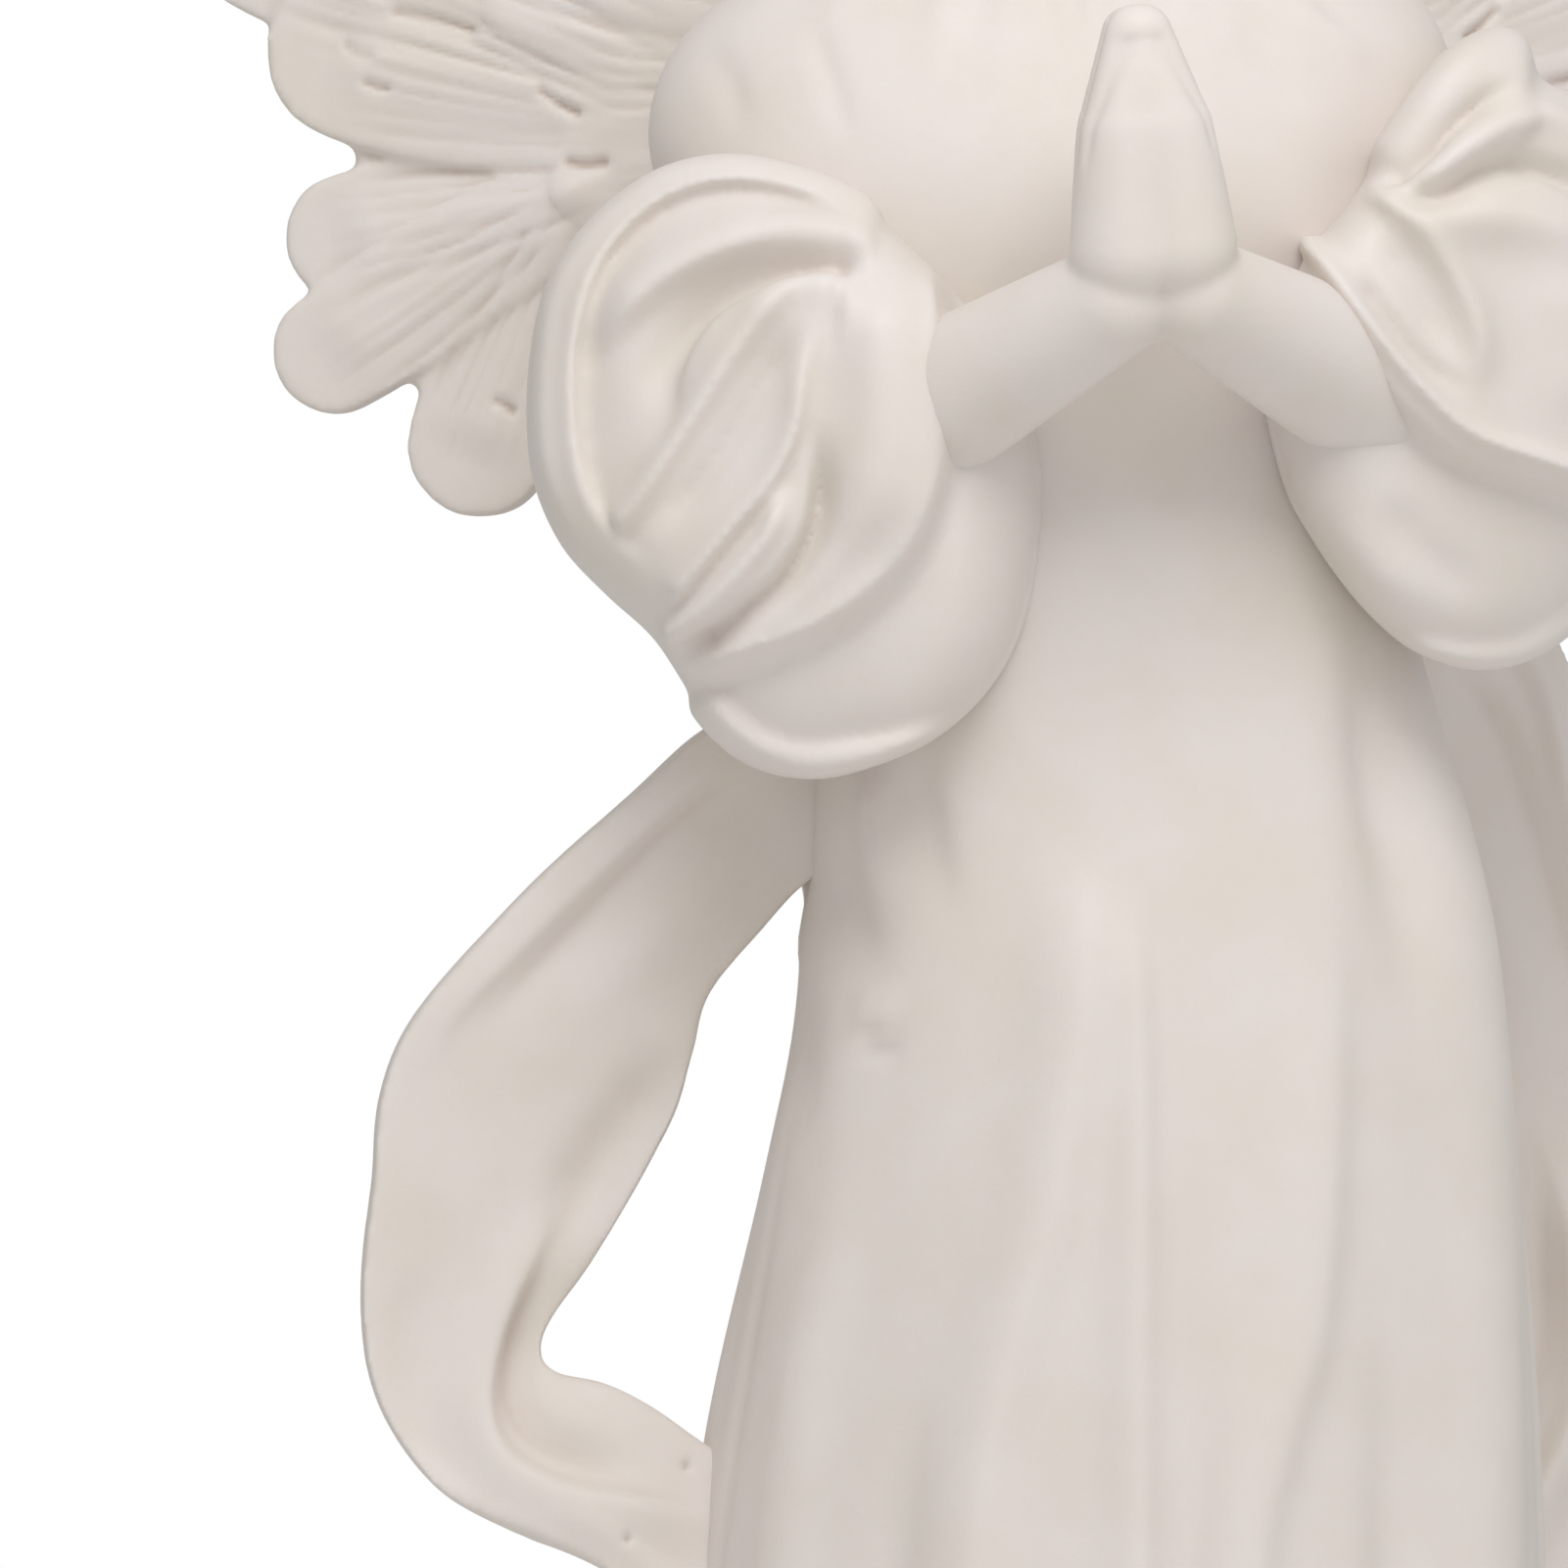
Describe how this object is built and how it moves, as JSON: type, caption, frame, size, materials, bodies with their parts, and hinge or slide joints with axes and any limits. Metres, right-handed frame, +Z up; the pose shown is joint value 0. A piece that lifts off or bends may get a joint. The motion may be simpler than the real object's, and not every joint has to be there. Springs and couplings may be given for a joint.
{
  "type": "angel figurine",
  "caption": "Standing angel figurine in matt ivory resin, hands joined in prayer, with bell sleeves, folded wings and a trailing sash.",
  "frame": {"origin": "middle of the underside of the felt pad, which is the face it stands on", "axes": "+Z up through the standing figure, -Y the way the figure faces, +X to the figure's own left"},
  "size_m": [0.1313, 0.0814, 0.2308],
  "materials": {
    "ivory_resin": "matt mineral-filled casting resin, warm ivory white",
    "plain_resin": "same resin, sawn and left plain",
    "felt": "pressed wool-blend felt, beige",
    "steel_wire": "drawn steel wire"
  },
  "bodies": {
    "root": {"robe_body": "ivory_resin", "head": "ivory_resin", "praying_hands": "ivory_resin", "right_sleeve": "ivory_resin", "left_sleeve": "ivory_resin", "right_wing": "ivory_resin", "left_wing": "ivory_resin", "right_sash": "ivory_resin", "left_sash": "ivory_resin", "base_plate": "plain_resin", "felt_pad": "felt", "sleeve_pins": "steel_wire", "sash_pins": "steel_wire"}
  },
  "joints": []
}
